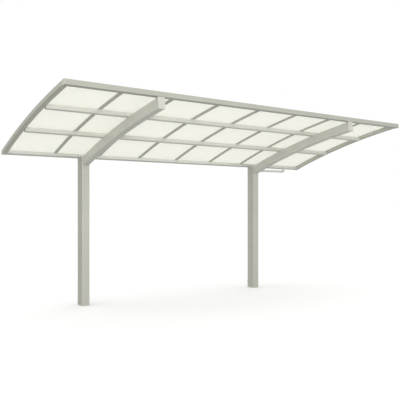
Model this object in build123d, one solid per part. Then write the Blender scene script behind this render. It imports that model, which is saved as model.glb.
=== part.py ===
from build123d import *
import math
import os

os.makedirs("parts", exist_ok=True)

# ---------------------------------------------------------------------------
# Cantilevered arched carport on two rear posts.  Millimetres.
# Origin: centre of the left post's foot, on the ground.
# +X along the length of the roof, +Y to the rear (gutter side), +Z up.
# ---------------------------------------------------------------------------

# roof grid along the length
BAYS = 8                    # panels along the length
BAY = 707.5                 # rafter to rafter
ROOF_CX = 1688.0            # middle of the roof, half way between the posts
FRAME_W = 64.0              # width of a side frame, outside the outermost line

# roof arc, seen from the side; every "offset" below is measured square to it, upwards
ROOF_R = 12300.0            # radius
ARC_REAR = (0.0, 2304.7)    # (y, z) over the posts
ARC_FRONT = (-2297.0, 2861.9)

# posts
POST_X = (0.0, 3376.0)
POST_W = 120.0              # along X
POST_D = 175.0              # along Y
POST_WALL = 3.0
POST_R = 6.0
POST_TOP = 2228.0
FOOT_T = 12.0               # plate that closes the foot
HEAD_FRONT_Z = 2262.0       # post head: top at the front face of the post
HEAD_WALL = 4.0

# arms (curved box beams)
ARM_W = 90.0
ARM_TOP = -64.0             # offset of the top face
ARM_D = 136.0
ARM_WALL = 3.0
ARM_R = 5.0
ARM_TIP_Y = -2283.0
PLATE_T = 8.0               # fixing plate between post and arm

# light end cap on each arm tip, a little larger than the arm
END_W = 98.0
END_TOP = -52.0
END_LOW = -203.0
END_T = 9.0
END_R = 9.0

# purlins, lying on the arms
PURLIN_LOW = -64.0
PURLIN_TOP = -8.0
PURLIN_D = 50.0
PURLIN_WALL = 2.0
PURLIN_Y = (-1518.0, -744.0)   # centres: front one, rear one

# front rail, on saddles on the arm tips
RAIL_Y = -2264.0            # centre
RAIL_D = 61.0
RAIL_LOW = -50.0
RAIL_TOP = 18.0
RAIL_WALL = 2.2
RAIL_R = 18.0               # round of the upper front edge
RAIL_CAP_T = 3.0
SADDLE_W = 78.0
SADDLE_D = 46.0
SADDLE_SHIFT = 5.5          # its middle lies behind the rail's, clear of the end cap

# side frames
SIDE_LOW = -44.0
SIDE_TOP = 15.0
SIDE_WALL = 2.0
SIDE_R = 4.0

# rafters, panels and the strips that hold them down
RAFTER_W = 36.0
RAFTER_LOW = -8.0
RAFTER_TOP = 10.0
RAFTER_WALL = 1.8
PANEL_T = 3.0
PANEL_GAP = 8.0             # between neighbouring panels, over a rafter
STRIP_W = 34.0
STRIP_T = 3.5
PANEL_Y1 = 48.0             # the panels drip into the gutter

# gutter, behind the roof's rear edge and on the post heads
GUT_Y0 = 15.0               # front face
GUT_Y1 = 80.0               # rear face
GUT_TOP_Z = 2299.0          # front wall
GUT_FRONT_Z = 2257.0        # where the sloping underside starts
GUT_SLOPE_Y = 60.0          # where it ends
GUT_LOW_Z = 2240.0
GUT_REAR_Z = 2290.0
GUT_WALL = 2.5
GUT_CAP_R = 17.0
GUT_CAP_WALL = 4.0

# rainwater pipe
PIPE_R = 20.0
PIPE_WALL = 2.0
SOCKET_R = 24.0
SOCKET_L = 18.0
OUTLET = (4195.0, 42.0)     # x, y of the outlet under the gutter
PIPE_Z = 2191.0             # centre of the level pipe at the outlet
DOWN = (3376.0, 118.0)      # x, y of the downpipe behind the right post
DOWN_Z = 2186.0             # where the level pipe reaches the downpipe
ELBOW_L = 48.0              # from an elbow's corner to its socket mouth
ELBOW_UP = 40.0             # the same, for the short leg under the gutter
SHOE_Z = 120.0
SHOE_FALL = 60.0            # degrees from straight down
SHOE_TURN = 30.0            # degrees from straight back, away from the middle of the roof
CLIP_Z = (420.0, 1160.0, 1900.0)

# ---------------------------------------------------------------------------
# arc helpers, in the YZ plane
# ---------------------------------------------------------------------------
_dy = ARC_FRONT[0] - ARC_REAR[0]
_dz = ARC_FRONT[1] - ARC_REAR[1]
_c = math.hypot(_dy, _dz)
_h = math.sqrt(ROOF_R ** 2 - (_c / 2) ** 2)
ARC_CY = (ARC_FRONT[0] + ARC_REAR[0]) / 2 - _h * _dz / _c
ARC_CZ = (ARC_FRONT[1] + ARC_REAR[1]) / 2 + _h * _dy / _c


def line_x(k):
    """X of roof line k: 0 and BAYS are the outermost ones."""
    return ROOF_CX + (k - BAYS / 2) * BAY


def phi(y):
    """Tilt of the roof arc at y, in radians; positive falls to the rear."""
    return math.asin((y - ARC_CY) / ROOF_R)


def on_arc(a, off=0.0):
    """(y, z) at tilt a and offset off from the roof arc."""
    r = ROOF_R + off
    return (ARC_CY + r * math.sin(a), ARC_CZ + r * math.cos(a))


def at_y(y, off=0.0):
    """(y, z) straight above y at offset off from the roof arc."""
    r = ROOF_R + off
    return (y, ARC_CZ + math.sqrt(r * r - (y - ARC_CY) ** 2))


def band(y0, y1, lo, hi, upright_rear=False):
    """Face between two arcs, from y0 (front) to y1 (rear)."""
    mid = phi((y0 + y1) / 2)
    f0, f1 = on_arc(phi(y0), lo), on_arc(phi(y0), hi)
    if upright_rear:
        r0, r1 = at_y(y1, lo), at_y(y1, hi)
    else:
        r0, r1 = on_arc(phi(y1), lo), on_arc(phi(y1), hi)
    edges = [
        ThreePointArc(f1, on_arc(mid, hi), r1),
        Line(r1, r0),
        ThreePointArc(r0, on_arc(mid, lo), f0),
        Line(f0, f1),
    ]
    return make_face(edges)


def along_x(face, x0, x1):
    """Extrude a face drawn as (y, z) from x0 to x1."""
    return extrude(Plane.YZ.offset(x0) * face, amount=x1 - x0)


def swept_tube(x0, x1, lo, hi, y0, y1, wall, r):
    """Rounded box tube that follows the roof arc from y0 (front) to y1 (rear), its ends square to the arc."""
    a0, a1 = phi(y0), phi(y1)
    w, h = x1 - x0, hi - lo
    c = on_arc(a1, (lo + hi) / 2)
    pl = Plane(origin=((x0 + x1) / 2, c[0], c[1]), x_dir=(1, 0, 0), z_dir=(0, -math.cos(a1), math.sin(a1)))
    ring = RectangleRounded(w, h, r) - RectangleRounded(w - 2 * wall, h - 2 * wall, max(r - wall, 0.6))
    return revolve(pl * ring, axis=Axis((0, ARC_CY, ARC_CZ), (1, 0, 0)), revolution_arc=math.degrees(a1 - a0))


def arc_plane(x, y):
    """Plane across the length at arc point y: local x down the slope to the rear, local y square to the roof, upwards."""
    a = phi(y)
    cy, cz = on_arc(a, 0.0)
    return Plane(origin=(x, cy, cz), x_dir=(0, math.cos(a), -math.sin(a)), z_dir=(1, 0, 0))


def rail_outline(lo, hi, depth, corner=0.0):
    """Cross-section of a straight member, its upper front edge rounded if asked."""
    sk = Pos(0, (lo + hi) / 2) * Rectangle(depth, hi - lo)
    if corner > 0:
        sk = fillet(sk.vertices().sort_by(Axis.X)[0:2].sort_by(Axis.Y)[-1], corner)
    return sk


def tilted(y, x0, x1, lo, hi, depth, wall, corner=0.0):
    """Straight box tube along X, square to the roof arc at y."""
    outer = rail_outline(lo, hi, depth, corner)
    inner = Sketch() + offset(outer, -wall)
    return extrude(arc_plane(x0, y) * (outer - inner), amount=x1 - x0)


def save(shape, name):
    export_step(shape, "parts/%s.step" % name)


X_IN0, X_IN1 = line_x(0), line_x(BAYS)              # inner faces of the side frames
X_OUT0, X_OUT1 = X_IN0 - FRAME_W, X_IN1 + FRAME_W   # outer faces
RAIL_REAR_Y = RAIL_Y + RAIL_D / 2 * math.cos(phi(RAIL_Y)) + 0.3   # rear face of the front rail

# ---------------------------------------------------------------------------
# posts, post heads, arms
# ---------------------------------------------------------------------------
saddles = []
for side, x in zip(("left", "right"), POST_X):
    outer = RectangleRounded(POST_W, POST_D, POST_R)
    inner = RectangleRounded(POST_W - 2 * POST_WALL, POST_D - 2 * POST_WALL, POST_R - POST_WALL)
    post = extrude(outer, amount=POST_TOP) - Pos(0, 0, FOOT_T) * extrude(inner, amount=POST_TOP)
    save(Pos(x, 0, 0) * post, side + "_post")

    # head: a hollow cap that rises to the front and cradles the gutter's underside
    half = POST_D / 2
    side_view = [(-half, POST_TOP), (-half, HEAD_FRONT_Z), (GUT_Y0 - 0.05, GUT_FRONT_Z - 0.05),
                 (GUT_SLOPE_Y, GUT_LOW_Z - 0.05), (half, GUT_LOW_Z - 0.05), (half, POST_TOP)]
    w = HEAD_WALL
    hollow_view = [(-half + w, POST_TOP - 1), (-half + w, HEAD_FRONT_Z - w), (GUT_Y0 - 2, GUT_FRONT_Z - w - 0.6),
                   (GUT_SLOPE_Y - 1.5, GUT_LOW_Z - w - 0.05), (half - w, GUT_LOW_Z - w - 0.05), (half - w, POST_TOP - 1)]
    head = along_x(make_face(Polyline(*side_view, close=True)), x - POST_W / 2, x + POST_W / 2)
    head &= Pos(x, 0, POST_TOP) * extrude(RectangleRounded(POST_W, POST_D, POST_R), amount=100)
    head -= along_x(make_face(Polyline(*hollow_view, close=True)), x - POST_W / 2 + w, x + POST_W / 2 - w)
    save(head, side + "_post_head")

    # arm: a box beam of constant depth that follows the roof arc, cut upright at the post
    root_y = -POST_D / 2 - PLATE_T
    arm = swept_tube(x - ARM_W / 2, x + ARM_W / 2, ARM_TOP - ARM_D, ARM_TOP, ARM_TIP_Y, root_y + 60,
                     ARM_WALL, ARM_R)
    arm -= Pos(x, root_y + 200, 2200) * Box(400, 400, 900)
    save(arm, side + "_arm")

    # end cap: a plate square to the arm, with a softened rim
    a = phi(ARM_TIP_Y)
    cy, cz = on_arc(a, (END_TOP + END_LOW) / 2)
    pl = Plane(origin=(x, cy, cz), x_dir=(1, 0, 0), z_dir=(0, -math.cos(a), math.sin(a)))
    cap = extrude(pl * RectangleRounded(END_W, END_TOP - END_LOW, END_R), amount=END_T)
    cap = fillet(cap.faces().sort_by(Axis.Y)[0].edges(), 3.0)
    save(cap, side + "_arm_end_cap")

    # fixing plate between the arm's root and the front face of the post
    z1 = at_y(root_y, ARM_TOP)[1] - 1
    z0 = at_y(root_y, ARM_TOP - ARM_D)[1] + 1
    plate = Pos(x, -POST_D / 2 - PLATE_T / 2, (min(z1, HEAD_FRONT_Z) + z0) / 2) * \
        Box(ARM_W, PLATE_T, min(z1, HEAD_FRONT_Z) - z0)
    save(plate, side + "_arm_plate")

    # saddle under the front rail
    block = Pos(SADDLE_SHIFT, 0) * rail_outline(ARM_TOP, RAIL_LOW - 0.02, SADDLE_D)
    saddles.append(extrude(arc_plane(x - SADDLE_W / 2, RAIL_Y) * block, amount=SADDLE_W))
save(Compound(children=saddles), "rail_saddles")

# ---------------------------------------------------------------------------
# front rail and purlins
# ---------------------------------------------------------------------------
save(tilted(RAIL_Y, X_OUT0 + RAIL_CAP_T, X_OUT1 - RAIL_CAP_T, RAIL_LOW, RAIL_TOP, RAIL_D, RAIL_WALL, RAIL_R), "front_rail")
for side, x0 in (("left", X_OUT0), ("right", X_OUT1 - RAIL_CAP_T)):
    sk = rail_outline(RAIL_LOW, RAIL_TOP, RAIL_D, RAIL_R)
    save(extrude(arc_plane(x0, RAIL_Y) * sk, amount=RAIL_CAP_T), side + "_rail_cap")

for name, y in zip(("front_purlin", "rear_purlin"), PURLIN_Y):
    save(tilted(y, X_IN0, X_IN1, PURLIN_LOW, PURLIN_TOP - 0.04, PURLIN_D, PURLIN_WALL), name)

# ---------------------------------------------------------------------------
# side frames: curved box tubes from the front rail to the gutter's end piece
# ---------------------------------------------------------------------------
for side, x0 in (("left", X_OUT0), ("right", X_IN1)):
    frame = swept_tube(x0, x0 + FRAME_W, SIDE_LOW, SIDE_TOP, RAIL_REAR_Y, GUT_Y0 + 60, SIDE_WALL, SIDE_R)
    frame -= Pos(x0 + FRAME_W / 2, GUT_Y0 + 200, 2300) * Box(400, 400, 900)
    save(frame, side + "_side_frame")

    # end piece: carries the frame's lines on to the gutter's rear face, its lower rear corner rounded
    y1 = GUT_Y1 + 2
    pts = [(GUT_Y0, at_y(GUT_Y0, SIDE_LOW)[1]), (GUT_Y0, at_y(GUT_Y0, SIDE_TOP)[1]),
           (y1, at_y(y1, SIDE_TOP)[1]), (y1, GUT_LOW_Z - 5), (GUT_SLOPE_Y, GUT_LOW_Z - 5)]
    sk = make_face(Polyline(*pts, close=True))
    rear = sk.vertices().sort_by(Axis.X)[-2:].sort_by(Axis.Y)
    sk = fillet(rear[0], GUT_CAP_R)
    top = sk.vertices().sort_by(Axis.X)[-2:].sort_by(Axis.Y)[-1]
    sk = fillet(top, 6)
    block = along_x(sk, x0, x0 + FRAME_W)
    hollow_sk = Sketch() + offset(sk, -GUT_CAP_WALL)
    if side == "left":
        hollow = along_x(hollow_sk, x0 + GUT_CAP_WALL, x0 + FRAME_W + 1)
    else:
        hollow = along_x(hollow_sk, x0 - 1, x0 + FRAME_W - GUT_CAP_WALL)
    save(block - hollow, side + "_gutter_cap")

# ---------------------------------------------------------------------------
# gutter: an open channel, its underside sloping to the rear
# ---------------------------------------------------------------------------
t = GUT_WALL
slope = math.atan2(GUT_FRONT_Z - GUT_LOW_Z, GUT_SLOPE_Y - GUT_Y0)
in_front_z = GUT_FRONT_Z + t / math.cos(slope) - t * math.tan(slope)
in_slope_y = GUT_SLOPE_Y + t * math.tan(slope / 2)
pts = [(GUT_Y0, GUT_TOP_Z), (GUT_Y0, GUT_FRONT_Z), (GUT_SLOPE_Y, GUT_LOW_Z), (GUT_Y1, GUT_LOW_Z),
       (GUT_Y1, GUT_REAR_Z), (GUT_Y1 - t, GUT_REAR_Z), (GUT_Y1 - t, GUT_LOW_Z + t),
       (in_slope_y, GUT_LOW_Z + t), (GUT_Y0 + t, in_front_z), (GUT_Y0 + t, GUT_TOP_Z)]
gutter = along_x(make_face(Polyline(*pts, close=True)), X_IN0, X_IN1)
gutter -= Pos(OUTLET[0], OUTLET[1], GUT_LOW_Z) * Cylinder(PIPE_R - PIPE_WALL, 60)
save(gutter, "gutter")

# ---------------------------------------------------------------------------
# rafters, panels, cover strips
# ---------------------------------------------------------------------------
for k in range(1, BAYS):
    x = line_x(k)
    tube = along_x(band(RAIL_REAR_Y, GUT_Y0 - 0.05, RAFTER_LOW, RAFTER_TOP, upright_rear=True),
                   x - RAFTER_W / 2, x + RAFTER_W / 2)
    core = along_x(band(RAIL_REAR_Y - 30, GUT_Y0 + 30, RAFTER_LOW + RAFTER_WALL, RAFTER_TOP - RAFTER_WALL),
                   x - RAFTER_W / 2 + RAFTER_WALL, x + RAFTER_W / 2 - RAFTER_WALL)
    save(tube - core, "rafter_%d" % k)

for k in range(BAYS):
    x0 = line_x(k) + (PANEL_GAP / 2 if k > 0 else 0)
    x1 = line_x(k + 1) - (PANEL_GAP / 2 if k < BAYS - 1 else 0)
    save(along_x(band(RAIL_REAR_Y, PANEL_Y1, RAFTER_TOP, RAFTER_TOP + PANEL_T), x0, x1), "roof_panel_%d" % (k + 1))

strips = []
for k in range(1, BAYS):
    x = line_x(k)
    strips.append(along_x(band(RAIL_REAR_Y, PANEL_Y1, RAFTER_TOP + PANEL_T, RAFTER_TOP + PANEL_T + STRIP_T),
                          x - STRIP_W / 2, x + STRIP_W / 2))
save(Compound(children=strips), "cover_strips")

# ---------------------------------------------------------------------------
# rainwater pipe: outlet, elbow, level pipe, second elbow, downpipe, shoe, clips
# ---------------------------------------------------------------------------
A = Vector(OUTLET[0], OUTLET[1], PIPE_Z)
B = Vector(DOWN[0], DOWN[1], DOWN_Z)
U = (B - A).normalized()                    # along the level pipe, to the post
UP = Vector(0, 0, 1)


def rod(p, q, r):
    """Round bar from p to q."""
    d = q - p
    return extrude(Plane(origin=p, z_dir=d.normalized()) * Circle(r), amount=d.length)


def elbow(p, d0, d1, l0, l1, bend=22.0):
    """Hollow elbow with its corner at p and sockets along d0 and d1."""
    a, b = p + d0 * l0, p + d1 * l1
    path = FilletPolyline(a, p, b, radius=bend)
    start = Plane(origin=a, z_dir=d0 * -1)
    body = sweep(start * Circle(PIPE_R), path=path)
    body += rod(a, a - d0 * SOCKET_L, SOCKET_R) + rod(b, b - d1 * SOCKET_L, SOCKET_R)
    bore = sweep(start * Circle(PIPE_R - PIPE_WALL), path=path)
    body -= bore
    body -= rod(a + d0, a - d0 * (SOCKET_L - 3), PIPE_R + 0.05)
    body -= rod(b + d1, b - d1 * (SOCKET_L - 3), PIPE_R + 0.05)
    return body


def pipe(p, q):
    return rod(p, q, PIPE_R) - rod(p, q, PIPE_R - PIPE_WALL)


REACH = ELBOW_L - SOCKET_L + 3              # from an elbow's corner to the end of the pipe in its socket
REACH_UP = ELBOW_UP - SOCKET_L + 3
save(elbow(A, UP, U, ELBOW_UP, ELBOW_L), "outlet_elbow")

# outlet: a stub cut to the gutter's sloping underside, with a flange that follows it
under = [(GUT_Y0 - 60, GUT_FRONT_Z), (GUT_Y0, GUT_FRONT_Z), (GUT_SLOPE_Y, GUT_LOW_Z), (GUT_Y1 + 60, GUT_LOW_Z),
         (GUT_Y1 + 60, GUT_LOW_Z + 80), (GUT_Y0 - 60, GUT_LOW_Z + 80)]
above = along_x(make_face(Polyline(*under, close=True)), OUTLET[0] - 60, OUTLET[0] + 60)
stub = pipe(A + UP * REACH_UP, Vector(OUTLET[0], OUTLET[1], GUT_LOW_Z + 40)) - above
flange_view = [(GUT_Y0 + 1, GUT_FRONT_Z - 0.4), (GUT_SLOPE_Y, GUT_LOW_Z), (GUT_Y1 - 6, GUT_LOW_Z),
               (GUT_Y1 - 6, GUT_LOW_Z - 4), (GUT_SLOPE_Y - 1, GUT_LOW_Z - 4), (GUT_Y0 + 1, GUT_FRONT_Z - 4.4)]
flange = along_x(make_face(Polyline(*flange_view, close=True)), OUTLET[0] - 60, OUTLET[0] + 60) - above
flange &= Pos(OUTLET[0], OUTLET[1], GUT_LOW_Z) * Cylinder(29, 120)
flange -= Pos(OUTLET[0], OUTLET[1], GUT_LOW_Z) * Cylinder(PIPE_R - 0.5, 130)
save(stub + flange, "gutter_outlet")

save(pipe(A + U * REACH, B - U * REACH), "drain_pipe")
save(elbow(B, U * -1, UP * -1, ELBOW_L, ELBOW_L), "post_elbow")
S = Vector(DOWN[0], DOWN[1], SHOE_Z)
save(pipe(B - UP * REACH, S + UP * REACH), "downpipe")
fall, turn = math.radians(SHOE_FALL), math.radians(SHOE_TURN)
shoe_dir = Vector(math.sin(fall) * math.sin(turn), math.sin(fall) * math.cos(turn), -math.cos(fall))
save(elbow(S, UP, shoe_dir, ELBOW_L, 45.0, bend=24.0), "downpipe_shoe")

clips = []
for z in CLIP_Z:
    ring = Pos(DOWN[0], DOWN[1], z) * (Cylinder(PIPE_R + 2.5, 22) - Cylinder(PIPE_R, 23))
    gap = DOWN[1] - PIPE_R - POST_D / 2
    foot = Pos(DOWN[0], POST_D / 2 + (gap + 3) / 2, z) * Box(26, gap + 3, 22)
    foot -= Pos(DOWN[0], DOWN[1], z) * Cylinder(PIPE_R, 30)
    clips.append(ring + foot)
save(Compound(children=clips), "pipe_clips")
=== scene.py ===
import math

import bmesh
import bpy
from mathutils import Matrix, Vector


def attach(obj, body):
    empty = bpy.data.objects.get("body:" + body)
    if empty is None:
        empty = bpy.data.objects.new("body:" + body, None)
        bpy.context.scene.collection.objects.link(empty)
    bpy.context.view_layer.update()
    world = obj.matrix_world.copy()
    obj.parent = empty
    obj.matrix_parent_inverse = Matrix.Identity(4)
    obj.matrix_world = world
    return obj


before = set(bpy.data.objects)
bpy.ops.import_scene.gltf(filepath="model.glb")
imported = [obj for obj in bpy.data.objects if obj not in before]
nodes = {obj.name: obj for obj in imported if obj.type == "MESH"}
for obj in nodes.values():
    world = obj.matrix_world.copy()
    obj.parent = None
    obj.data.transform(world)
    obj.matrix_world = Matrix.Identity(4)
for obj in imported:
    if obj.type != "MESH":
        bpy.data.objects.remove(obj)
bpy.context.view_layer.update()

# ---------------------------------------------------------------------------
# the roof arc and the main sizes, in metres, as in the CAD source
# ---------------------------------------------------------------------------
R = 12.3
A0, A1 = (0.0, 2.3047), (-2.297, 2.8619)
_dy, _dz = A1[0] - A0[0], A1[1] - A0[1]
_c = math.hypot(_dy, _dz)
_h = math.sqrt(R * R - (_c / 2) ** 2)
CY = (A1[0] + A0[0]) / 2 - _h * _dz / _c
CZ = (A1[1] + A0[1]) / 2 + _h * _dy / _c

BAYS, BAY, ROOF_CX, FRAME_W = 8, 0.7075, 1.688, 0.064
POST_X = (0.0, 3.376)
POST_W, POST_D = 0.120, 0.175
RAIL_Y, RAIL_D = -2.264, 0.061
GUT_Y0, GUT_Y1 = 0.015, 0.080
PANEL_Y1 = 0.048
PANEL_TOP = 0.013
STRIP_TOP = 0.0165
STRIP_W = 0.034


def line_x(k):
    return ROOF_CX + (k - BAYS / 2) * BAY


def phi(y):
    return math.asin((y - CY) / R)


def on_arc(a, off=0.0):
    return CY + (R + off) * math.sin(a), CZ + (R + off) * math.cos(a)


X_IN0, X_IN1 = line_x(0), line_x(BAYS)
X_OUT0, X_OUT1 = X_IN0 - FRAME_W, X_IN1 + FRAME_W
RAIL_REAR_Y = RAIL_Y + RAIL_D / 2 * math.cos(phi(RAIL_Y)) + 0.0003

# ---------------------------------------------------------------------------
# materials
# ---------------------------------------------------------------------------
STRETCH = {"X": (1.0, 26.0, 26.0), "Y": (26.0, 1.0, 26.0), "Z": (26.0, 26.0, 1.0), "N": (9.0, 9.0, 9.0)}


def new_material(name):
    m = bpy.data.materials.new(name)
    m.use_nodes = True
    nt = m.node_tree
    nt.nodes.clear()
    out = nt.nodes.new("ShaderNodeOutputMaterial")
    return m, nt, out


def link(nt, a, b):
    nt.links.new(a, b)


def noise(nt, vec, scale, detail=3.0, rough=0.5):
    n = nt.nodes.new("ShaderNodeTexNoise")
    n.inputs["Scale"].default_value = scale
    n.inputs["Detail"].default_value = detail
    n.inputs["Roughness"].default_value = rough
    link(nt, vec, n.inputs["Vector"])
    return n.outputs["Fac"]


def remap(nt, fac, lo, hi, a, b):
    n = nt.nodes.new("ShaderNodeMapRange")
    n.inputs["From Min"].default_value = lo
    n.inputs["From Max"].default_value = hi
    n.inputs["To Min"].default_value = a
    n.inputs["To Max"].default_value = b
    link(nt, fac, n.inputs["Value"])
    return n.outputs["Result"]


def ramp(nt, fac, stops):
    n = nt.nodes.new("ShaderNodeValToRGB")
    cr = n.color_ramp
    while len(cr.elements) > 1:
        cr.elements.remove(cr.elements[-1])
    cr.elements[0].position, cr.elements[0].color = stops[0][0], (*stops[0][1], 1)
    for p, c in stops[1:]:
        cr.elements.new(p).color = (*c, 1)
    link(nt, fac, n.inputs["Fac"])
    return n.outputs["Color"]


def scaled(c, k):
    return tuple(min(1.0, v * k) for v in c)


def coords(nt, scale=(1, 1, 1), shift=(0, 0, 0)):
    tc = nt.nodes.new("ShaderNodeTexCoord")
    mp = nt.nodes.new("ShaderNodeMapping")
    mp.inputs["Scale"].default_value = scale
    mp.inputs["Location"].default_value = shift
    link(nt, tc.outputs["Object"], mp.inputs["Vector"])
    return mp.outputs["Vector"]


def blend_colour(nt, fac, a, b, mode="MIX"):
    n = nt.nodes.new("ShaderNodeMix")
    n.data_type = "RGBA"
    n.blend_type = mode
    if hasattr(fac, "links"):
        link(nt, fac, n.inputs[0])
    else:
        n.inputs[0].default_value = fac
    for sock, v in ((n.inputs[6], a), (n.inputs[7], b)):
        if hasattr(v, "links"):
            link(nt, v, sock)
        else:
            sock.default_value = (*v, 1)
    return n.outputs[2]


def aluminium(name, base, along, metallic=0.35, rough=0.46):
    """Satin anodised extrusion: faint die lines along the member, faint tone changes, a fine grain."""
    m, nt, out = new_material(name)
    p = nt.nodes.new("ShaderNodeBsdfPrincipled")
    link(nt, p.outputs[0], out.inputs["Surface"])
    lines = noise(nt, coords(nt, STRETCH[along]), 7.0, 4.0, 0.62)
    tone = noise(nt, coords(nt, (1, 1, 1), (3.1, 1.7, 0.4)), 1.6, 3.0)
    dust = noise(nt, coords(nt, (1, 1, 1), (7.3, 2.2, 5.4)), 38.0, 5.0, 0.6)
    c1 = ramp(nt, tone, [(0.30, scaled(base, 0.955)), (0.52, base), (0.74, scaled(base, 1.035))])
    c2 = ramp(nt, lines, [(0.34, (0.93, 0.93, 0.93)), (0.5, (0.98, 0.98, 0.98)), (0.66, (1.0, 1.0, 1.0))])
    c = blend_colour(nt, 1.0, c1, c2, "MULTIPLY")
    c = blend_colour(nt, remap(nt, dust, 0.60, 0.80, 0.0, 0.16), c, scaled(base, 0.80))
    link(nt, c, p.inputs["Base Color"])
    link(nt, remap(nt, lines, 0.3, 0.7, rough - 0.06, rough + 0.07), p.inputs["Roughness"])
    p.inputs["Metallic"].default_value = metallic
    bump = nt.nodes.new("ShaderNodeBump")
    bump.inputs["Strength"].default_value = 0.08
    bump.inputs["Distance"].default_value = 0.0004
    link(nt, lines, bump.inputs["Height"])
    link(nt, bump.outputs[0], p.inputs["Normal"])
    return m


def plastic(name, base, rough=0.5, grain=260.0, spec=0.45):
    """Moulded plastic: a fine spark-eroded grain and slight clouding."""
    m, nt, out = new_material(name)
    p = nt.nodes.new("ShaderNodeBsdfPrincipled")
    link(nt, p.outputs[0], out.inputs["Surface"])
    tone = noise(nt, coords(nt, (1, 1, 1), (0.6, 4.1, 2.3)), 5.0, 4.0)
    fine = noise(nt, coords(nt), grain, 3.0, 0.6)
    c = ramp(nt, tone, [(0.30, scaled(base, 0.94)), (0.52, base), (0.75, scaled(base, 1.03))])
    c = blend_colour(nt, remap(nt, fine, 0.55, 0.8, 0.0, 0.18), c, scaled(base, 0.84))
    link(nt, c, p.inputs["Base Color"])
    link(nt, remap(nt, fine, 0.3, 0.7, rough - 0.05, rough + 0.08), p.inputs["Roughness"])
    p.inputs["Specular IOR Level"].default_value = spec
    bump = nt.nodes.new("ShaderNodeBump")
    bump.inputs["Strength"].default_value = 0.12
    bump.inputs["Distance"].default_value = 0.0003
    link(nt, fine, bump.inputs["Height"])
    link(nt, bump.outputs[0], p.inputs["Normal"])
    return m


def sheet(name, base, through):
    """Milky polycarbonate: most light passes and is scattered, the rest comes back from a faintly streaked surface."""
    m, nt, out = new_material(name)
    p = nt.nodes.new("ShaderNodeBsdfPrincipled")
    t = nt.nodes.new("ShaderNodeBsdfTranslucent")
    mix = nt.nodes.new("ShaderNodeMixShader")
    mix.inputs[0].default_value = through
    link(nt, p.outputs[0], mix.inputs[1])
    link(nt, t.outputs[0], mix.inputs[2])
    link(nt, mix.outputs[0], out.inputs["Surface"])
    cloud = noise(nt, coords(nt, (1, 1, 1), (1.9, 0.3, 6.0)), 0.9, 4.0, 0.55)
    runs = noise(nt, coords(nt, (30.0, 1.2, 1.2)), 2.0, 4.0, 0.6)
    c = ramp(nt, cloud, [(0.30, scaled(base, 0.993)), (0.52, base), (0.75, scaled(base, 1.004))])
    c = blend_colour(nt, remap(nt, runs, 0.52, 0.78, 0.0, 0.02), c, scaled(base, 0.93))
    link(nt, c, p.inputs["Base Color"])
    link(nt, c, t.inputs["Color"])
    link(nt, remap(nt, runs, 0.3, 0.7, 0.27, 0.32), p.inputs["Roughness"])
    p.inputs["Specular IOR Level"].default_value = 0.5
    bump = nt.nodes.new("ShaderNodeBump")
    bump.inputs["Strength"].default_value = 0.03
    bump.inputs["Distance"].default_value = 0.0003
    link(nt, noise(nt, coords(nt), 60.0, 2.0), bump.inputs["Height"])
    link(nt, bump.outputs[0], p.inputs["Normal"])
    return m


def steel(name):
    m, nt, out = new_material(name)
    p = nt.nodes.new("ShaderNodeBsdfPrincipled")
    link(nt, p.outputs[0], out.inputs["Surface"])
    fine = noise(nt, coords(nt), 420.0, 4.0, 0.6)
    link(nt, ramp(nt, fine, [(0.3, (0.40, 0.40, 0.38)), (0.6, (0.58, 0.58, 0.56)), (0.8, (0.66, 0.66, 0.64))]),
         p.inputs["Base Color"])
    link(nt, remap(nt, fine, 0.3, 0.7, 0.26, 0.42), p.inputs["Roughness"])
    p.inputs["Metallic"].default_value = 1.0
    return m


def rubber(name, base):
    m, nt, out = new_material(name)
    p = nt.nodes.new("ShaderNodeBsdfPrincipled")
    link(nt, p.outputs[0], out.inputs["Surface"])
    fine = noise(nt, coords(nt), 300.0, 4.0, 0.6)
    link(nt, ramp(nt, fine, [(0.3, scaled(base, 0.8)), (0.6, base), (0.8, scaled(base, 1.5))]), p.inputs["Base Color"])
    link(nt, remap(nt, fine, 0.3, 0.7, 0.55, 0.75), p.inputs["Roughness"])
    return m


WARM = (1.0, 1.0, 0.87)      # the finish's warm grey, scaled per part to the light and shade that part shows: painted light and shade on one finish


def warm(v, blue=WARM[2]):
    return (v * WARM[0], v * WARM[1], v * blue)


CAP_BASE = (0.49, 0.49, 0.435)
PIPE_BASE = (0.54, 0.54, 0.49)
PANEL_BASE = (0.957, 0.957, 0.912)

# the frame parts share one anodised finish; their different base tones and tints are painted light and shade, lighter
# for the purlins, gutter and arms, darker for the rail and posts
MAT = {
    "post": aluminium("aluminium_post", warm(0.42), "Z"),
    "arm": aluminium("aluminium_arm", warm(0.54, 0.90), "Y"),
    "purlin": aluminium("aluminium_purlin", warm(0.565, 0.91), "X"),
    "gutter": aluminium("aluminium_gutter", warm(0.525, 0.91), "X"),
    "rail": aluminium("aluminium_rail", warm(0.398), "X"),
    "side": aluminium("aluminium_side_frame", warm(0.455), "Y"),
    "rafter": aluminium("aluminium_rafter", warm(0.445), "Y"),
    "plate": aluminium("aluminium_plate", warm(0.47), "N"),
    "cap": plastic("moulded_cap", CAP_BASE),
    "end_cap": plastic("moulded_arm_cap", (0.455, 0.455, 0.405)),
    "pipe": plastic("pipe_plastic", PIPE_BASE, 0.38, 180.0),
    "panel": sheet("milky_polycarbonate", PANEL_BASE, 0.80),
    "steel": steel("stainless_steel"),
    "rubber": rubber("glazing_rubber", (0.060, 0.060, 0.057)),
    "seal": rubber("light_sealant", (0.36, 0.36, 0.33)),
}


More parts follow.
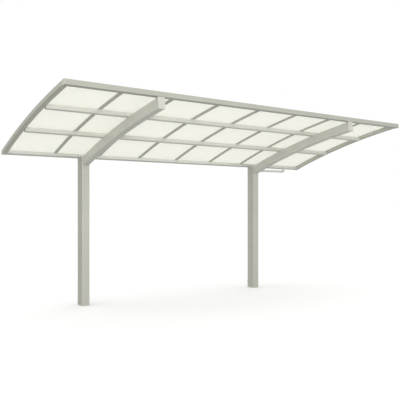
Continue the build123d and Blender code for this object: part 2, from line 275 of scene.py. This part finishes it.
def mat_for(name):
    if name.startswith("roof_panel"):
        return MAT["panel"]
    if name in ("outlet_elbow", "post_elbow", "drain_pipe", "downpipe", "downpipe_shoe", "gutter_outlet", "pipe_clips"):
        return MAT["pipe"]
    if name.endswith("_arm_end_cap"):
        return MAT["end_cap"]
    if name.endswith(("_rail_cap", "_gutter_cap")):
        return MAT["cap"]
    if name.endswith(("_arm_plate", "_post_head")) or name == "rail_saddles":
        return MAT["plate"]
    if name.endswith("_post"):
        return MAT["post"]
    if name.endswith("_arm"):
        return MAT["arm"]
    if name.endswith("_purlin"):
        return MAT["purlin"]
    if name == "gutter":
        return MAT["gutter"]
    if name == "front_rail":
        return MAT["rail"]
    if name.endswith("_side_frame"):
        return MAT["side"]
    return MAT["rafter"]


for name, ob in nodes.items():
    ob.data.materials.clear()
    ob.data.materials.append(mat_for(name))

# ---------------------------------------------------------------------------
# mesh helpers
# ---------------------------------------------------------------------------


def basis(axis, spin=0.0):
    """Rotation that turns +Z to axis."""
    q = Vector((0, 0, 1)).rotation_difference(Vector(axis).normalized())
    return q.to_matrix() @ Matrix.Rotation(spin, 3, "Z")


def lathe(bm, c, axis, prof, seg=20, spin=0.0, smooth=True):
    """Closed turned shape: prof is (radius, height) pairs from the base up, the last radius 0 or closed flat."""
    m = basis(axis, spin)
    c = Vector(c)
    rings = []
    for r, h in prof:
        if r <= 1e-9:
            rings.append([bm.verts.new(c + m @ Vector((0, 0, h)))])
        else:
            rings.append([bm.verts.new(c + m @ Vector((r * math.cos(2 * math.pi * i / seg), r * math.sin(2 * math.pi * i / seg), h)))
                          for i in range(seg)])
    for a, b in zip(rings, rings[1:]):
        for i in range(seg):
            j = (i + 1) % seg
            if len(a) == 1:
                f = bm.faces.new((a[0], b[j], b[i])) if False else bm.faces.new((a[0], b[i], b[j]))
            elif len(b) == 1:
                f = bm.faces.new((a[i], a[j], b[0]))
            else:
                f = bm.faces.new((a[i], a[j], b[j], b[i]))
            f.smooth = smooth
    if len(rings[0]) > 1:
        bm.faces.new(list(reversed(rings[0])))
    if len(rings[-1]) > 1:
        bm.faces.new(rings[-1])


def pan_screw(bm, c, axis, r=0.0052, washer=0.0078, spin=0.0):
    """Sealing washer, domed head and a sunk round socket."""
    c = Vector(c)
    n = Vector(axis).normalized()
    lathe(bm, c, n, [(washer, 0.0), (washer, 0.0009), (washer * 0.93, 0.0014), (r * 1.02, 0.0017)], 20)
    h = 0.0017
    lathe(bm, c + n * h, n, [(r, 0.0), (r * 0.99, r * 0.18), (r * 0.86, r * 0.46), (r * 0.62, r * 0.62), (r * 0.44, r * 0.66),
                             (r * 0.42, r * 0.62), (r * 0.40, r * 0.20), (0.0, r * 0.20)], 18)


def hex_bolt(bm, c, axis, flats=0.017, spin=0.3):
    """Washer, hexagon head with a chamfered top."""
    c = Vector(c)
    n = Vector(axis).normalized()
    lathe(bm, c, n, [(flats * 0.88, 0.0), (flats * 0.88, 0.0018), (flats * 0.84, 0.0024)], 24)
    rr = flats / math.sqrt(3)
    lathe(bm, c + n * 0.0024, n, [(rr, 0.0), (rr, flats * 0.52), (rr * 0.90, flats * 0.60)], 6, spin, False)


def arc_bar(bm, x, section, y0, y1, steps=28):
    """Bar that follows the roof arc: section is (dx, offset) points, in order round it."""
    a0, a1 = phi(y0), phi(y1)
    rings = []
    for i in range(steps + 1):
        a = a0 + (a1 - a0) * i / steps
        ring = []
        for dx, off in section:
            y, z = on_arc(a, off)
            ring.append(bm.verts.new((x + dx, y, z)))
        rings.append(ring)
    n = len(section)
    for a, b in zip(rings, rings[1:]):
        for i in range(n):
            j = (i + 1) % n
            bm.faces.new((a[i], a[j], b[j], b[i]))
    bm.faces.new(list(reversed(rings[0])))
    bm.faces.new(rings[-1])


def x_bar(bm, section, x0, x1):
    """Bar along X: section is (y, z) points, in order round it."""
    a = [bm.verts.new((x0, y, z)) for y, z in section]
    b = [bm.verts.new((x1, y, z)) for y, z in section]
    n = len(section)
    for i in range(n):
        j = (i + 1) % n
        bm.faces.new((a[i], a[j], b[j], b[i]))
    bm.faces.new(list(reversed(a)))
    bm.faces.new(b)


def bead(w, h, base):
    """Soft bead section, base at offset base: (across, offset) points."""
    return [(-w / 2, base), (w / 2, base), (w / 2, base + h * 0.45), (w * 0.30, base + h * 0.88), (0.0, base + h),
            (-w * 0.30, base + h * 0.88), (-w / 2, base + h * 0.45)]


def tilted_points(y, pts):
    """(along the slope to the rear, offset) points at arc point y as (y, z)."""
    a = phi(y)
    out = []
    for t, off in pts:
        py, pz = on_arc(a, off)
        out.append((py + t * math.cos(a), pz - t * math.sin(a)))
    return out


def piece(name, bm, mat):
    bmesh.ops.recalc_face_normals(bm, faces=bm.faces)
    me = bpy.data.meshes.new(name)
    bm.to_mesh(me)
    bm.free()
    ob = bpy.data.objects.new(name, me)
    bpy.context.scene.collection.objects.link(ob)
    me.materials.append(mat)
    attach(ob, "root")
    return ob


# ---------------------------------------------------------------------------
# screws along the cover strips
# ---------------------------------------------------------------------------
bm = bmesh.new()
for k in range(1, BAYS):
    for i in range(9):
        y = -2.17 + i * (2.17 / 8)
        a = phi(y)
        py, pz = on_arc(a, STRIP_TOP)
        pan_screw(bm, (line_x(k), py, pz), (0, math.sin(a), math.cos(a)), spin=0.4 * i)
piece("strip_screws", bm, MAT["steel"])

# glazing beads beside the strips, along the side frames, at the front rail and in the gutter's mouth
bm = bmesh.new()
for k in range(1, BAYS):
    for s in (-1, 1):
        arc_bar(bm, line_x(k) + s * (STRIP_W / 2 + 0.0017), bead(0.0034, 0.0026, PANEL_TOP), RAIL_REAR_Y + 0.001, PANEL_Y1 - 0.001)
arc_bar(bm, X_IN0 + 0.0022, bead(0.0042, 0.0026, PANEL_TOP), RAIL_REAR_Y + 0.001, PANEL_Y1 - 0.001)
arc_bar(bm, X_IN1 - 0.0022, bead(0.0042, 0.0026, PANEL_TOP), RAIL_REAR_Y + 0.001, PANEL_Y1 - 0.001)
for k in range(BAYS):
    x0 = line_x(k) + (STRIP_W / 2 + 0.0038 if k else 0.0046)
    x1 = line_x(k + 1) - (STRIP_W / 2 + 0.0038 if k < BAYS - 1 else 0.0046)
    x_bar(bm, tilted_points(RAIL_REAR_Y + 0.0026, [(-0.0023, 0.0130), (0.0023, 0.0130), (0.0021, 0.0142), (0.0012, 0.0153),
                                                   (-0.0012, 0.0156), (-0.0023, 0.0150)]), x0, x1)
piece("glazing_beads", bm, MAT["rubber"])

# soft seals under the panels, either side of each rafter
bm = bmesh.new()
for k in range(1, BAYS):
    for s in (-1, 1):
        arc_bar(bm, line_x(k) + s * (0.018 + 0.0011),
                [(-0.0011, 0.0078), (0.0, 0.0074), (0.0011, 0.0082), (0.0011, 0.0099), (-0.0011, 0.0099)],
                RAIL_REAR_Y + 0.002, GUT_Y0 - 0.004)
piece("rafter_seals", bm, MAT["seal"])

# ---------------------------------------------------------------------------
# bolts and screws
# ---------------------------------------------------------------------------
bm = bmesh.new()
for x in POST_X:
    for dx in (-0.038, 0.038):
        for z in (2.148, 2.217):
            hex_bolt(bm, (x + dx, POST_D / 2, z), (0, 1, 0))
piece("arm_bolts", bm, MAT["steel"])

bm = bmesh.new()
for x, n in ((X_OUT0, -1), (X_OUT1, 1)):
    # rail end caps
    for t, off in ((-0.008, -0.036), (0.012, 0.004)):
        (y, z), = tilted_points(RAIL_Y, [(t, off)])
        pan_screw(bm, (x, y, z), (n, 0, 0), 0.0040, 0.0052)
    # purlin ends, through the side frames
    for py in (-1.518, -0.744):
        for off in (-0.018, -0.034):
            (y, z), = tilted_points(py, [(0.0, off)])
            pan_screw(bm, (x, y, z), (n, 0, 0), 0.0045, 0.0060)
    # gutter end pieces
    for y, z in ((0.030, 2.290), (0.052, 2.252)):
        pan_screw(bm, (x, y, z), (n, 0, 0), 0.0040, 0.0052)
piece("side_screws", bm, MAT["steel"])

bm = bmesh.new()
for x in POST_X:
    for s in (-1, 1):
        for y in (-0.052, 0.052):
            pan_screw(bm, (x + s * POST_W / 2, y, 2.2335), (s, 0, 0), 0.0036, 0.0044)
    # end cap of the arm
    a = phi(-2.283)
    for off in (-0.080, -0.176):
        cy, cz = on_arc(a, off)
        n = Vector((0, -math.cos(a), math.sin(a)))
        pan_screw(bm, Vector((x, cy, cz)) + n * 0.009, n, 0.0036, 0.0044)
piece("head_and_cap_screws", bm, MAT["steel"])

# ---------------------------------------------------------------------------
# straps across the gutter, with a rivet at the rear end
# ---------------------------------------------------------------------------
bm = bmesh.new()
t = 0.0022
for k in range(1, BAYS):
    x = line_x(k) + 0.06
    y0, y1, z = GUT_Y0 + 0.0026, GUT_Y1 - 0.0026, 2.2815
    sec = [(y0, z - 0.012), (y0 + t, z - 0.012), (y0 + t, z), (y1 - t, z), (y1 - t, z - 0.012), (y1, z - 0.012),
           (y1, z + t), (y0, z + t)]
    x_bar(bm, sec, x - 0.011, x + 0.011)
    lathe(bm, (x, GUT_Y1, z - 0.004), (0, 1, 0), [(0.0040, 0.0), (0.0037, 0.0009), (0.0022, 0.0017), (0.0, 0.0019)], 14)
piece("gutter_straps", bm, MAT["plate"])

# clamp screws of the pipe clips
bm = bmesh.new()
for z in (0.42, 1.16, 1.90):
    for s in (-1, 1):
        pan_screw(bm, (POST_X[1] + s * 0.013, 0.0925, z), (s, 0, 0), 0.0030, 0.0036)
piece("clip_screws", bm, MAT["steel"])

# ---------------------------------------------------------------------------
# floor, light, camera
# ---------------------------------------------------------------------------
bpy.ops.mesh.primitive_circle_add(vertices=96, radius=320.0, fill_type="NGON", location=(1.7, -1.1, -0.0006))
floor = bpy.context.object
floor.name = "floor"
m, nt, out = new_material("pale_floor")
p = nt.nodes.new("ShaderNodeBsdfPrincipled")
link(nt, p.outputs[0], out.inputs["Surface"])
grain = noise(nt, coords(nt), 30.0, 3.0)
link(nt, ramp(nt, grain, [(0.3, (0.94, 0.94, 0.94)), (0.7, (0.965, 0.965, 0.965))]), p.inputs["Base Color"])
p.inputs["Roughness"].default_value = 0.9
p.inputs["Specular IOR Level"].default_value = 0.1
floor.data.materials.append(m)
floor.visible_diffuse = False     # the studio's own light from below stands in for the floor's bounce
floor.visible_glossy = False

world = bpy.data.worlds.new("studio")
bpy.context.scene.world = world
world.use_nodes = True
nt = world.node_tree
nt.nodes.clear()
wout = nt.nodes.new("ShaderNodeOutputWorld")
bg_light = nt.nodes.new("ShaderNodeBackground")
bg_seen = nt.nodes.new("ShaderNodeBackground")
mix = nt.nodes.new("ShaderNodeMixShader")
lp = nt.nodes.new("ShaderNodeLightPath")
tc = nt.nodes.new("ShaderNodeTexCoord")
sep = nt.nodes.new("ShaderNodeSeparateXYZ")
link(nt, tc.outputs["Generated"], sep.inputs[0])


def lobe(socket, sign, strength):
    """strength times the part of a direction component that is positive after sign."""
    n = nt.nodes.new("ShaderNodeMath")
    n.operation = "MULTIPLY"
    n.inputs[1].default_value = sign * strength
    link(nt, socket, n.inputs[0])
    mx = nt.nodes.new("ShaderNodeMath")
    mx.operation = "MAXIMUM"
    mx.inputs[1].default_value = 0.0
    link(nt, n.outputs[0], mx.inputs[0])
    return mx.outputs[0]


def plus(a, b):
    n = nt.nodes.new("ShaderNodeMath")
    n.operation = "ADD"
    for sock, v in zip(n.inputs, (a, b)):
        if hasattr(v, "links"):
            link(nt, v, sock)
        else:
            sock.default_value = v
    return n.outputs[0]


# soft studio: even light all round, more from above, some from either end, little from below
total = plus(lobe(sep.outputs["Z"], 1.0, 0.83), 0.325)
total = plus(total, lobe(sep.outputs["X"], -1.0, 0.56))
total = plus(total, lobe(sep.outputs["X"], 1.0, 0.40))
total = plus(total, lobe(sep.outputs["Z"], -1.0, 0.15))
bg_light.inputs["Color"].default_value = (1, 1, 1, 1)
link(nt, total, bg_light.inputs["Strength"])
bg_seen.inputs["Color"].default_value = (1, 1, 1, 1)
bg_seen.inputs["Strength"].default_value = 1.0
link(nt, lp.outputs["Is Camera Ray"], mix.inputs[0])
link(nt, bg_light.outputs[0], mix.inputs[1])
link(nt, bg_seen.outputs[0], mix.inputs[2])
link(nt, mix.outputs[0], wout.inputs["Surface"])


def area(name, loc, target, size, energy):
    ld = bpy.data.lights.new(name, "AREA")
    ld.shape = "SQUARE"
    ld.size = size
    ld.energy = energy
    ob = bpy.data.objects.new(name, ld)
    ob.location = loc
    ob.rotation_mode = "QUATERNION"
    ob.rotation_quaternion = (Vector(target) - Vector(loc)).to_track_quat("-Z", "Y")
    bpy.context.scene.collection.objects.link(ob)
    return ob


area("key_front_left", (-5.0, -14.0, 1.8), (1.7, -1.0, 1.8), 4.0, 1280.0)
area("fill_front_right", (9.0, -13.0, 2.2), (1.7, -1.0, 1.8), 4.0, 300.0)

cam_data = bpy.data.cameras.new("camera")
cam_data.sensor_width = 36.0
cam_data.lens = 50.704
cam_data.shift_x = 0.0
cam_data.shift_y = 0.01875
cam_data.clip_start, cam_data.clip_end = 0.1, 2000.0
cam = bpy.data.objects.new("camera", cam_data)
cam.location = (-3.4647, -8.0754, 1.4882)
cam.rotation_euler = (math.radians(90.0), 0.0, math.radians(-34.898))
bpy.context.scene.collection.objects.link(cam)
bpy.context.scene.camera = cam

vs = bpy.context.scene.view_settings
vs.view_transform = "Standard"
vs.look = "None"
vs.exposure = 0.0
vs.gamma = 1.0
